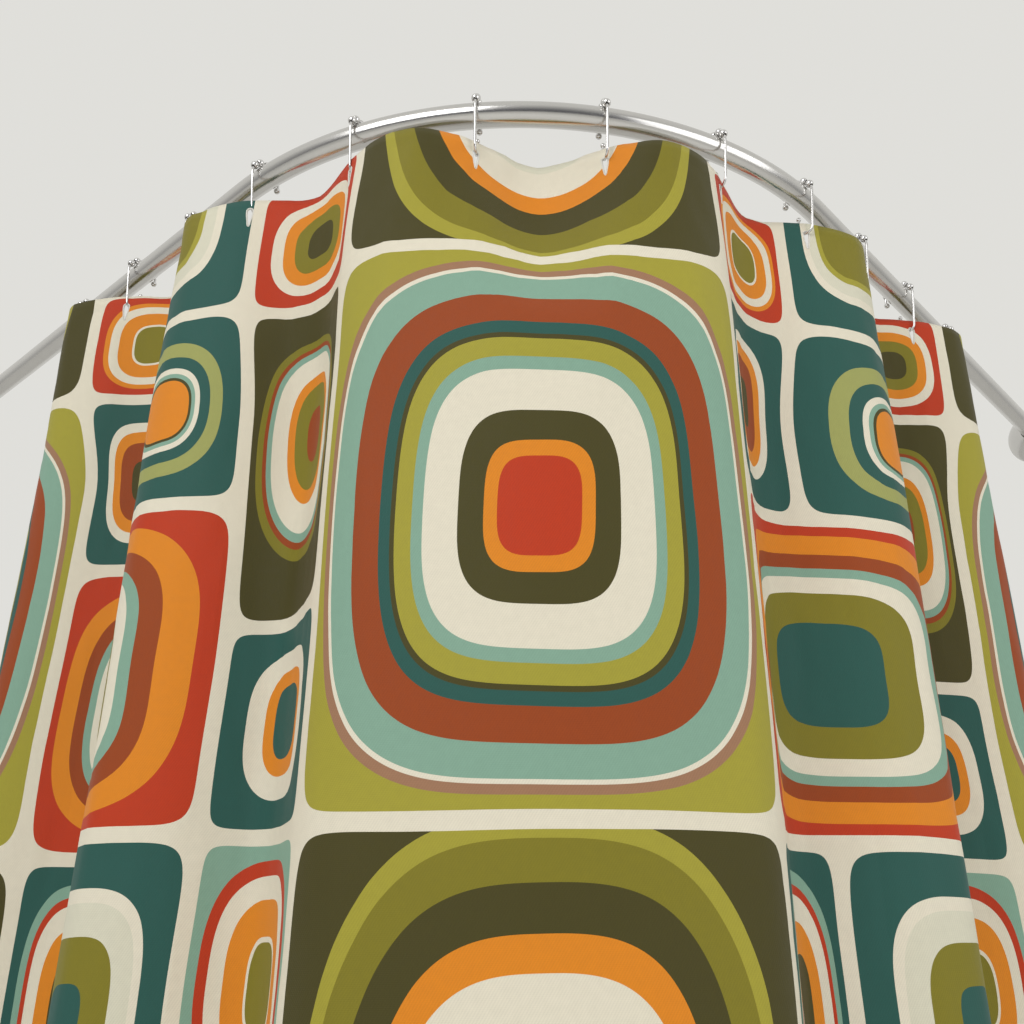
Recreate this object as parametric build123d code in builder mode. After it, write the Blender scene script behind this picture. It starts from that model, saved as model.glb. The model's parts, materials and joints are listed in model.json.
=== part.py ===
"""Printed shower curtain on a right-angled corner rod with a large-radius bend.

Millimetres, +Z up. The origin is the centre of the left wall plate's back face.
The rod leaves that plate towards +X -Y, goes round the bend, whose nose points to -Y,
and returns to the right wall plate, which faces the other wall of the corner.
"""

import math
import os

from build123d import *

# Rod and wall fittings
rodRadius = 12.5
rodWall = 1.2
bendRadius = 440.0
legLength = 700.0
plateRadius = 35.0
plateThickness = 3.0
socketRadius = 16.0
socketDepth = 18.0
socketClearance = 0.1
socketChamfer = 0.6
coverRadius = 42.0
coverDepth = 34.0
coverWall = 1.2
coverNeckClearance = 0.4
coverRimHeight = 4.0
coverShoulderWidth = 8.0
coverShoulderDepth = 9.0
screwCircleRadius = 26.0
screwCount = 3
screwRadius = 2.1
screwNeckRadius = 1.8
screwHeadRadius = 4.0
screwHeadDepth = 2.2
screwInWall = 28.0
screwHoleClearance = 0.15
screwDriveLength = 5.0
screwDriveWidth = 0.9
screwDriveDepth = 1.8
setScrewRadius = 1.95
setScrewLength = 4.0
setScrewHeight = 13.0
setScrewClearance = 0.05
hexKeyRadius = 1.15
hexKeyDepth = 2.0

# Hooks and their rollers
hookCount = 12
hookPitch = 123.5
wireRadius = 1.35
rollerRadius = 4.25
rollerGap = 0.4
rollerBore = 1.95
rollerFlatLatitude = 55.0
rollerPitchAngle = 31.0
tailAngle = 107.0
tailBallRadius = 3.3
legLean = 6.5
legDrop = 43.0
jawRadius = 7.6
jawRise = 14.0
jawBallRadius = 2.6

# Cloth
clothTop = -38.0
clothLength = 1880.0
clothThickness = 1.0
clothReach = 102.0
foldDepth = 31.0
foldFlatness = 2.5
foldOffset = 6.0
hemThickness = 0.8
hemGap = 0.1
topHemHeight = 40.0
bottomHemHeight = 25.0
sideHemWidth = 12.0
samplesPerFold = 16

# Buttonholes
holeLength = 24.0
holeWidth = 8.0
stitchInnerLength = 21.0
stitchInnerWidth = 5.4
stitchThickness = 2.2
holeCentreBelowTop = 21.5
slitCutDepth = 4.0

wallHalfTurn = math.radians(45)
bendHalfLength = bendRadius * wallHalfTurn
bendCentre = Vector(
    (legLength + bendRadius) * math.cos(wallHalfTurn),
    (bendRadius - legLength) * math.sin(wallHalfTurn),
)
ringRadius = rodRadius + rollerGap + rollerRadius
up = Vector(0, 0, 1)


def rodDirections(along):
    """Unit vectors along the rod and out of the bend, at a distance from the nose."""
    turn = max(-wallHalfTurn, min(wallHalfTurn, along / bendRadius))
    return Vector(math.cos(turn), math.sin(turn)), Vector(math.sin(turn), -math.cos(turn))


def rodPoint(along, outward=0.0, height=0.0):
    """A point measured along the rod from the nose, outward from its centreline and up."""
    tangent, out = rodDirections(along)
    turn = max(-wallHalfTurn, min(wallHalfTurn, along / bendRadius))
    straight = along - turn * bendRadius
    return bendCentre + out * (bendRadius + outward) + tangent * straight + up * height


def foldOutward(along):
    """How far the cloth stands outward of the rod: one fold forward or back per hook."""
    phase = math.pi * along / hookPitch
    return foldOffset - foldDepth * math.cos(phase) - foldFlatness * math.cos(3 * phase)


def clothNormal(along):
    before = rodPoint(along - 0.5, foldOutward(along - 0.5))
    after = rodPoint(along + 0.5, foldOutward(along + 0.5))
    run = (after - before).normalized()
    return Vector(run.Y, -run.X)


def clothPoint(along, layer, height=0.0):
    """A point on a layer of the cloth: layer is its distance in front of the middle."""
    return rodPoint(along, foldOutward(along), height) + clothNormal(along) * layer


def layerOutline(start, end, front, back):
    """Draws the closed plan outline of one layer of cloth between two places on the rod."""
    steps = max(3, round(samplesPerFold * (end - start) / hookPitch))
    places = [start + (end - start) * n / steps for n in range(steps + 1)]
    frontLine = Spline(*[clothPoint(p, front) for p in places])
    backLine = Spline(*[clothPoint(p, back) for p in places])
    Line(frontLine @ 0, backLine @ 0)
    Line(frontLine @ 1, backLine @ 1)


def holePlane(along):
    centre = clothPoint(along, 0, clothTop - holeCentreBelowTop)
    return Plane(origin=centre, x_dir=up, z_dir=clothNormal(along))


def hookPlane(along):
    """Local x points outward from the rod and local y points up."""
    out = rodDirections(along)[1]
    return Plane(origin=rodPoint(along), x_dir=out, z_dir=out.cross(up))


def rollerPlane(along, angle):
    """A plane across the hook's wire, at an angle from the top towards the front."""
    hook = hookPlane(along)
    lean = math.radians(angle)
    place = hook.from_local_coords(Vector(math.sin(lean), math.cos(lean)) * ringRadius)
    wireWay = hook.from_local_coords(Vector(math.cos(lean), -math.sin(lean))) - hook.origin
    return Plane(origin=place, x_dir=hook.z_dir, z_dir=wireWay)


def save(part, name):
    part.label = name
    export_step(part, f"parts/{name}.step")


hookPlaces = [(n - (hookCount - 1) / 2) * hookPitch for n in range(hookCount)]
os.makedirs("parts", exist_ok=True)

# Rod: a straight leg, the bend and the other leg, bottomed on both wall plates
seat = bendHalfLength + legLength - plateThickness
with BuildPart() as rod:
    with BuildLine() as rodLine:
        leftLeg = Line(rodPoint(-seat), rodPoint(-bendHalfLength))
        bend = RadiusArc(leftLeg @ 1, rodPoint(bendHalfLength), -bendRadius)
        Line(bend @ 1, rodPoint(seat))
    with BuildSketch(Plane(origin=rodLine.line @ 0, z_dir=rodLine.line % 0)):
        Circle(rodRadius)
        Circle(rodRadius - rodWall, mode=Mode.SUBTRACT)
    sweep(path=rodLine.line)
save(rod.part, "rod")

# Wall fittings, the same at both ends
for side, end in (("left", -1), ("right", 1)):
    alongLeg = rodDirections(end * bendHalfLength)[0] * -end
    wall = Plane(
        origin=rodPoint(end * (bendHalfLength + legLength)), x_dir=up, z_dir=alongLeg
    )

    with BuildPart() as wallPlate:
        with BuildSketch(wall):
            Circle(plateRadius)
        extrude(amount=plateThickness)
        with BuildSketch(wall):
            Circle(socketRadius)
        extrude(amount=plateThickness + socketDepth)
        with BuildSketch(wall.offset(plateThickness)):
            Circle(rodRadius + socketClearance)
        extrude(amount=socketDepth, mode=Mode.SUBTRACT)
        with Locations(wall.offset(plateThickness)):
            with PolarLocations(screwCircleRadius, screwCount):
                CounterSinkHole(
                    screwRadius + screwHoleClearance,
                    screwHeadRadius + screwHoleClearance,
                    plateThickness,
                )
        with BuildSketch(Plane(origin=wall.origin + alongLeg * setScrewHeight, z_dir=-up)):
            Circle(setScrewRadius + setScrewClearance)
        extrude(amount=2 * socketRadius, mode=Mode.SUBTRACT)
        chamfer(wallPlate.edges().group_by(Axis(wall.origin, alongLeg))[-1], socketChamfer)
    save(wallPlate.part, f"wall_plate_{side}")

    # Domed cover: a shell that hides the plate and closes round the rod
    neck = rodRadius + coverNeckClearance
    shoulder = neck + coverShoulderWidth
    shoulderHeight = coverDepth - coverShoulderDepth
    with BuildPart() as cover:
        with BuildSketch(Plane(origin=wall.origin, x_dir=up, z_dir=up.cross(alongLeg))):
            with BuildLine():
                rim = Line((coverRadius, 0), (coverRadius, coverRimHeight))
                dome = Spline(
                    rim @ 1,
                    (shoulder + coverWall, shoulderHeight),
                    (neck + coverWall, coverDepth),
                    tangents=[(0, 1), (0, 1)],
                )
                lip = Line(dome @ 1, (neck, coverDepth))
                inner = Spline(
                    lip @ 1,
                    (shoulder - 0.5 * coverWall, shoulderHeight - coverWall),
                    (coverRadius - coverWall, coverRimHeight),
                    tangents=[(0, -1), (0, -1)],
                )
                drop = Line(inner @ 1, (coverRadius - coverWall, 0))
                Line(drop @ 1, rim @ 0)
            make_face()
        revolve(axis=Axis(wall.origin, alongLeg))
    save(cover.part, f"flange_cover_{side}")

    with BuildPart() as screws:
        with Locations(wall):
            with PolarLocations(screwCircleRadius, screwCount):
                Cylinder(
                    screwRadius,
                    screwInWall,
                    align=(Align.CENTER, Align.CENTER, Align.MAX),
                )
        with Locations(wall.offset(plateThickness)):
            with PolarLocations(screwCircleRadius, screwCount):
                Cylinder(
                    screwNeckRadius,
                    plateThickness,
                    align=(Align.CENTER, Align.CENTER, Align.MAX),
                )
                Cone(
                    screwRadius,
                    screwHeadRadius,
                    screwHeadDepth,
                    align=(Align.CENTER, Align.CENTER, Align.MAX),
                )
                for driveSize in (
                    (screwDriveLength, screwDriveWidth),
                    (screwDriveWidth, screwDriveLength),
                ):
                    Box(
                        *driveSize,
                        screwDriveDepth,
                        align=(Align.CENTER, Align.CENTER, Align.MAX),
                        mode=Mode.SUBTRACT,
                    )
    save(screws.part, f"wall_screws_{side}")

    with BuildPart() as setScrew:
        below = wall.origin + alongLeg * setScrewHeight
        grubPlane = Plane(origin=below - up * rodRadius, x_dir=alongLeg, z_dir=-up)
        with BuildSketch(grubPlane):
            Circle(setScrewRadius)
        extrude(amount=setScrewLength)
        with BuildSketch(grubPlane.offset(setScrewLength)):
            RegularPolygon(hexKeyRadius, 6)
        extrude(amount=-hexKeyDepth, mode=Mode.SUBTRACT)
    save(setScrew.part, f"set_screw_{side}")

# Hooks: one bent wire each, with a ball at both ends and five rollers on its top
rollerLeans = [rollerPitchAngle * n for n in (-2, -1, 1, 2)]
for number, along in enumerate(hookPlaces, start=1):
    with BuildPart() as hookWire:
        with BuildLine(hookPlane(along)) as wirePath:
            crown = CenterArc((0, 0), ringRadius, -legLean, 90 + legLean + tailAngle)
            frontLeg = PolarLine(crown @ 0, legDrop, -90 - legLean)
            jaw = JernArc(frontLeg @ 1, frontLeg % 1, jawRadius, legLean - 180)
            PolarLine(jaw @ 1, jawRise, 90)
        wire = wirePath.wires()[0]
        with BuildSketch(Plane(origin=wire @ 0, z_dir=wire % 0)):
            Circle(wireRadius)
        sweep(path=wire)
        ends = sorted([wire @ 0, wire @ 1], key=lambda end: end.Z)
        with Locations(ends[0]):
            Sphere(jawBallRadius)
        with Locations(ends[1]):
            Sphere(tailBallRadius)
    save(hookWire.part, f"hook_wire_{number:02d}")

    with BuildPart() as sideRollers:
        for lean in rollerLeans:
            with Locations(rollerPlane(along, lean)):
                Sphere(rollerRadius, -rollerFlatLatitude, rollerFlatLatitude)
                Cylinder(rollerBore, 3 * rollerRadius, mode=Mode.SUBTRACT)
    save(sideRollers.part, f"side_rollers_{number:02d}")

    with BuildPart() as topRoller:
        with Locations(rollerPlane(along, 0)):
            Sphere(rollerRadius, -rollerFlatLatitude, rollerFlatLatitude)
            Cylinder(rollerBore, 3 * rollerRadius, mode=Mode.SUBTRACT)
    save(topRoller.part, f"top_roller_{number:02d}")

# Cloth: one panel in folds, with a hem behind each of its four edges
clothEnd = hookPlaces[-1] + clothReach
clothBottom = clothTop - clothLength
hemFront = -clothThickness / 2 - hemGap
hemBack = hemFront - hemThickness
with BuildPart() as slits:
    for along in hookPlaces:
        with BuildSketch(holePlane(along)):
            SlotOverall(holeLength, holeWidth)
        extrude(amount=slitCutDepth, both=True)

with BuildPart() as cloth:
    with BuildSketch(Plane.XY.offset(clothBottom)):
        with BuildLine():
            layerOutline(-clothEnd, clothEnd, clothThickness / 2, -clothThickness / 2)
        make_face()
    extrude(amount=clothLength)
    add(slits.part, mode=Mode.SUBTRACT)
save(cloth.part, "curtain_cloth")

with BuildPart() as topHem:
    with BuildSketch(Plane.XY.offset(clothTop - topHemHeight)):
        with BuildLine():
            layerOutline(-clothEnd, clothEnd, hemFront, hemBack)
        make_face()
    extrude(amount=topHemHeight)
    add(slits.part, mode=Mode.SUBTRACT)
save(topHem.part, "top_hem")

with BuildPart() as bottomHem:
    with BuildSketch(Plane.XY.offset(clothBottom)):
        with BuildLine():
            layerOutline(-clothEnd, clothEnd, hemFront, hemBack)
        make_face()
    extrude(amount=bottomHemHeight)
save(bottomHem.part, "bottom_hem")

sideHemLength = clothLength - topHemHeight - bottomHemHeight
for side, start in (("left", -clothEnd), ("right", clothEnd - sideHemWidth)):
    with BuildPart() as sideHem:
        with BuildSketch(Plane.XY.offset(clothBottom + bottomHemHeight)):
            with BuildLine():
                layerOutline(start, start + sideHemWidth, hemFront, hemBack)
            make_face()
        extrude(amount=sideHemLength)
    save(sideHem.part, f"side_hem_{side}")

# Buttonhole stitching: a sewn rim inside each slit
with BuildPart() as stitching:
    for along in hookPlaces:
        with BuildSketch(holePlane(along).offset(hemBack / 2)):
            SlotOverall(holeLength, holeWidth)
            SlotOverall(stitchInnerLength, stitchInnerWidth, mode=Mode.SUBTRACT)
        extrude(amount=stitchThickness / 2, both=True)
save(stitching.part, "buttonhole_stitching")

steps = 4000
run = [clothPoint(clothEnd * (2 * n / steps - 1), 0) for n in range(steps + 1)]
flatWidth = sum((b - a).length for a, b in zip(run, run[1:]))
print(f"cloth: flat width {flatWidth:.0f} mm, length {clothLength:.0f} mm")
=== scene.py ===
import json
import math

import bpy
import numpy as np
from mathutils import Matrix, Vector

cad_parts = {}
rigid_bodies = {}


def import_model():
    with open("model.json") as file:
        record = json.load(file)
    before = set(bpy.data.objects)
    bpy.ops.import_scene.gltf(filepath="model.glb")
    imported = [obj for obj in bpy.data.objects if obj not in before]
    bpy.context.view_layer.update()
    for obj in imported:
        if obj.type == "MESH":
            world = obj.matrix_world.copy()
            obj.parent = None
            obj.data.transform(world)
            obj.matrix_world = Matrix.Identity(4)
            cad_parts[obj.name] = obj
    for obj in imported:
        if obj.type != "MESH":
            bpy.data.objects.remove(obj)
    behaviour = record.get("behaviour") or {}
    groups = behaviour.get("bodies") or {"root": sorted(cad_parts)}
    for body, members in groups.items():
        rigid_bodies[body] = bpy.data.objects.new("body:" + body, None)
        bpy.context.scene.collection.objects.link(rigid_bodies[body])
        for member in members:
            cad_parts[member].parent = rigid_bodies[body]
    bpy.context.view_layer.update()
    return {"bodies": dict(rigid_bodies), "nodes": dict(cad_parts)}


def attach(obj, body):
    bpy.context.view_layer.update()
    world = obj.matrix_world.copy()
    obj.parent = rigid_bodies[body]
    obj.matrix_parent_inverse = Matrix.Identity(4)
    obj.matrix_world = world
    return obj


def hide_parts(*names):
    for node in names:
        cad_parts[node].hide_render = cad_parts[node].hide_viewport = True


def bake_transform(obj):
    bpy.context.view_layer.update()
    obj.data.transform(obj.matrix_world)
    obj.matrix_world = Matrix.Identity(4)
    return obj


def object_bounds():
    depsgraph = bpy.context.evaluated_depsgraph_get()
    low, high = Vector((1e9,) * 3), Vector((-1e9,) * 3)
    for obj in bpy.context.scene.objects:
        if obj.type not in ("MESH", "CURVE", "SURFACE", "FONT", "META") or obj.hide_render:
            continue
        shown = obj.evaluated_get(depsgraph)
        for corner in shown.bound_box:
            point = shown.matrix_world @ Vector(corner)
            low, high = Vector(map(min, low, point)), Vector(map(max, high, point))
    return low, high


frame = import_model()


# ---- small helpers
def clearSelection():
    if bpy.context.object and bpy.context.object.mode != "OBJECT":
        bpy.ops.object.mode_set(mode="OBJECT")
    bpy.ops.object.select_all(action="DESELECT")


def pick(obj):
    clearSelection()
    obj.select_set(True)
    bpy.context.view_layer.objects.active = obj


def newest(name):
    obj = bpy.context.object
    obj.name = name
    obj.data.name = name
    return obj


def settle(obj):
    # the piece's place goes into its mesh
    pick(obj)
    bpy.ops.object.transform_apply(location=True, rotation=True, scale=True)


def applyModifiers(obj):
    pick(obj)
    for modifier in list(obj.modifiers):
        bpy.ops.object.modifier_apply(modifier=modifier.name)


def joinInto(obj, *others):
    pick(obj)
    for other in others:
        other.select_set(True)
    bpy.ops.object.join()


def copyOf(obj, name, place):
    # a copy with its own mesh, moved by a matrix
    twin = obj.copy()
    twin.data = obj.data.copy()
    twin.name = name
    twin.data.name = name
    bpy.context.collection.objects.link(twin)
    twin.data.transform(place)
    return twin


def smooth(obj, degrees=40):
    pick(obj)
    bpy.ops.object.shade_smooth_by_angle(angle=math.radians(degrees))


# ---- the rod's line, the same as in the model
rodLine = {
    "radius": 0.0125,
    "wall": 0.0012,
    "bendRadius": 0.440,
    "leg": 0.700,
    "plate": 0.003,
    "halfTurn": math.radians(45),
    "hooks": 12,
    "pitch": 0.1235,
}
bendHalf = rodLine["bendRadius"] * rodLine["halfTurn"]
bendCentre = Vector(
    (
        (rodLine["leg"] + rodLine["bendRadius"]) * math.cos(rodLine["halfTurn"]),
        (rodLine["bendRadius"] - rodLine["leg"]) * math.sin(rodLine["halfTurn"]),
        0.0,
    )
)
hookPlaces = [(n - (rodLine["hooks"] - 1) / 2) * rodLine["pitch"] for n in range(rodLine["hooks"])]


def rodDirections(along):
    turn = max(-rodLine["halfTurn"], min(rodLine["halfTurn"], along / rodLine["bendRadius"]))
    tangent = Vector((math.cos(turn), math.sin(turn), 0))
    outward = Vector((math.sin(turn), -math.cos(turn), 0))
    return tangent, outward, along - turn * rodLine["bendRadius"]


def rodPoint(along):
    tangent, outward, straight = rodDirections(along)
    return bendCentre + outward * rodLine["bendRadius"] + tangent * straight


# ---- camera
cameraView = {
    "place": (0.7494, -1.4131, -0.7803),
    "tiltUp": 24.19,
    "turnRight": 2.26,
    "roll": 0.35,
    "lens": 37.5,
}
bpy.ops.object.camera_add(location=cameraView["place"])
camera = bpy.context.object
camera.rotation_euler = (
    Matrix.Rotation(-math.radians(cameraView["turnRight"]), 4, "Z")
    @ Matrix.Rotation(math.radians(90 + cameraView["tiltUp"]), 4, "X")
    @ Matrix.Rotation(math.radians(cameraView["roll"]), 4, "Z")
).to_euler()
camera.data.lens = cameraView["lens"]
camera.data.sensor_width = 36
camera.data.clip_start = 0.01
camera.data.dof.use_dof = False
bpy.context.scene.camera = camera
print("camera set")


# ---- shader helpers
def groupSockets(group, inputs, outputs):
    for name, kind, value in inputs:
        socket = group.interface.new_socket(name, in_out="INPUT", socket_type=kind)
        if value is not None:
            socket.default_value = value
    for name, kind in outputs:
        group.interface.new_socket(name, in_out="OUTPUT", socket_type=kind)
    return group.nodes.new("NodeGroupInput"), group.nodes.new("NodeGroupOutput")


def wire(tree, value, socket):
    if isinstance(value, bpy.types.NodeSocket):
        tree.links.new(value, socket)
    else:
        socket.default_value = value


def mathNode(tree, operation, *values, clamp=False):
    node = tree.nodes.new("ShaderNodeMath")
    node.operation = operation
    node.use_clamp = clamp
    for n, value in enumerate(values):
        wire(tree, value, node.inputs[n])
    return node.outputs[0]


def mixColour(tree, factor, first, second, blend="MIX"):
    node = tree.nodes.new("ShaderNodeMix")
    node.data_type = "RGBA"
    node.blend_type = blend
    wire(tree, factor, node.inputs[0])
    wire(tree, first, node.inputs[6])
    wire(tree, second, node.inputs[7])
    return node.outputs[2]


def noiseNode(tree, vector, scale, detail=2.0, roughness=0.5):
    node = tree.nodes.new("ShaderNodeTexNoise")
    node.inputs["Scale"].default_value = scale
    node.inputs["Detail"].default_value = detail
    node.inputs["Roughness"].default_value = roughness
    tree.links.new(vector, node.inputs["Vector"])
    return node


def bumpNode(tree, height, strength, distance):
    node = tree.nodes.new("ShaderNodeBump")
    node.inputs["Strength"].default_value = strength
    node.inputs["Distance"].default_value = distance
    tree.links.new(height, node.inputs["Height"])
    return node.outputs[0]


def placeGroup(tree, group, **values):
    node = tree.nodes.new("ShaderNodeGroup")
    node.node_tree = group
    for name, value in values.items():
        wire(tree, value, node.inputs[name])
    return node


def startMaterial(name):
    material = bpy.data.materials.new(name)
    material.use_nodes = True
    tree = material.node_tree
    shader = tree.nodes["Principled BSDF"]
    return material, tree, shader


def colour(red, green, blue):
    # screen colour to the linear values the shader wants
    shares = [c / 255 for c in (red, green, blue)]
    linear = [c / 12.92 if c < 0.0404 else ((c + 0.055) / 1.055) ** 2.4 for c in shares]
    return (*linear, 1.0)


# ---- shader group: a fine diagonal twill on flat cloth
twillShape = {"slant": 0.6, "yarnsPerRib": 1.7, "ribShare": 0.7, "slubScale": 160.0}
twill = bpy.data.node_groups.new("twillWeave", "ShaderNodeTree")
entry, leave = groupSockets(
    twill,
    [("Vector", "NodeSocketVector", None), ("Pitch", "NodeSocketFloat", 0.002)],
    [("Height", "NodeSocketFloat"), ("Slub", "NodeSocketFloat")],
)
split = twill.nodes.new("ShaderNodeSeparateXYZ")
twill.links.new(entry.outputs["Vector"], split.inputs[0])
turns = mathNode(twill, "DIVIDE", 2 * math.pi, entry.outputs["Pitch"])
diagonal = mathNode(twill, "MULTIPLY_ADD", split.outputs[1], twillShape["slant"], split.outputs[0])
ribs = mathNode(twill, "SINE", mathNode(twill, "MULTIPLY", diagonal, turns))
yarnTurns = mathNode(twill, "MULTIPLY", turns, twillShape["yarnsPerRib"])
yarns = mathNode(twill, "SINE", mathNode(twill, "MULTIPLY", split.outputs[1], yarnTurns))
ribPart = mathNode(twill, "MULTIPLY", ribs, twillShape["ribShare"])
yarnPart = mathNode(twill, "MULTIPLY", yarns, 1 - twillShape["ribShare"])
height = mathNode(twill, "ADD", ribPart, yarnPart)
slub = noiseNode(twill, entry.outputs["Vector"], twillShape["slubScale"], 2.0)
twill.links.new(mathNode(twill, "MULTIPLY_ADD", height, 0.5, 0.5), leave.inputs["Height"])
twill.links.new(slub.outputs[0], leave.inputs["Slub"])

# ---- shader group: one cell of the print, a rounded block with rings inside it
cell = bpy.data.node_groups.new("printedCell", "ShaderNodeTree")
entry, leave = groupSockets(
    cell,
    [
        ("Across", "NodeSocketFloat", 0.0),
        ("Down", "NodeSocketFloat", 0.0),
        ("Centre Across", "NodeSocketFloat", 0.0),
        ("Centre Down", "NodeSocketFloat", 0.0),
        ("Half Width", "NodeSocketFloat", 0.1),
        ("Half Height", "NodeSocketFloat", 0.1),
        ("Lean Across", "NodeSocketFloat", 0.0),
        ("Lean Down", "NodeSocketFloat", 0.0),
        ("Corner", "NodeSocketFloat", 9.0),
        ("Ring Corner", "NodeSocketFloat", 3.2),
        ("Squeeze", "NodeSocketFloat", 1.0),
    ],
    [("Inside", "NodeSocketFloat"), ("Ring", "NodeSocketFloat")],
)


def rounded(tree, x, y, power):
    ax = mathNode(tree, "POWER", mathNode(tree, "ABSOLUTE", x), power)
    ay = mathNode(tree, "POWER", mathNode(tree, "ABSOLUTE", y), power)
    return mathNode(tree, "POWER", mathNode(tree, "ADD", ax, ay), mathNode(tree, "DIVIDE", 1.0, power))


source = entry.outputs
fromMiddle = mathNode(cell, "SUBTRACT", source["Across"], source["Centre Across"])
belowMiddle = mathNode(cell, "SUBTRACT", source["Down"], source["Centre Down"])
x = mathNode(cell, "DIVIDE", fromMiddle, source["Half Width"])
y = mathNode(cell, "DIVIDE", belowMiddle, source["Half Height"])
edge = rounded(cell, x, y, source["Corner"])
depthX = mathNode(cell, "MULTIPLY_ADD", mathNode(cell, "MULTIPLY", x, x), -1.0, 1.0, clamp=True)
depthY = mathNode(cell, "MULTIPLY_ADD", mathNode(cell, "MULTIPLY", y, y), -1.0, 1.0, clamp=True)
depth = mathNode(cell, "MULTIPLY", depthX, depthY)
leanX = mathNode(cell, "SUBTRACT", x, mathNode(cell, "MULTIPLY", source["Lean Across"], depth))
leanY = mathNode(cell, "SUBTRACT", y, mathNode(cell, "MULTIPLY", source["Lean Down"], depth))
squeezed = mathNode(cell, "MULTIPLY", leanY, source["Squeeze"])
ring = rounded(cell, leanX, squeezed, source["Ring Corner"])
cell.links.new(mathNode(cell, "LESS_THAN", edge, 1.0), leave.inputs["Inside"])
cell.links.new(ring, leave.inputs["Ring"])

# ---- shader group: light handling marks on polished metal
polishShape = {"smudgeScale": 28.0, "grainScale": 900.0}
polish = bpy.data.node_groups.new("polishedMarks", "ShaderNodeTree")
entry, leave = groupSockets(
    polish,
    [
        ("Vector", "NodeSocketVector", None),
        ("Base", "NodeSocketFloat", 0.1),
        ("Amount", "NodeSocketFloat", 0.06),
    ],
    [("Roughness", "NodeSocketFloat"), ("Height", "NodeSocketFloat"), ("Tone", "NodeSocketFloat")],
)
smudge = noiseNode(polish, entry.outputs["Vector"], polishShape["smudgeScale"], 4.0, 0.6)
grain = noiseNode(polish, entry.outputs["Vector"], polishShape["grainScale"], 2.0)
marks = mathNode(polish, "MULTIPLY", smudge.outputs[0], entry.outputs["Amount"])
polish.links.new(mathNode(polish, "ADD", entry.outputs["Base"], marks), leave.inputs["Roughness"])
polish.links.new(grain.outputs[0], leave.inputs["Height"])
polish.links.new(smudge.outputs[0], leave.inputs["Tone"])

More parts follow.
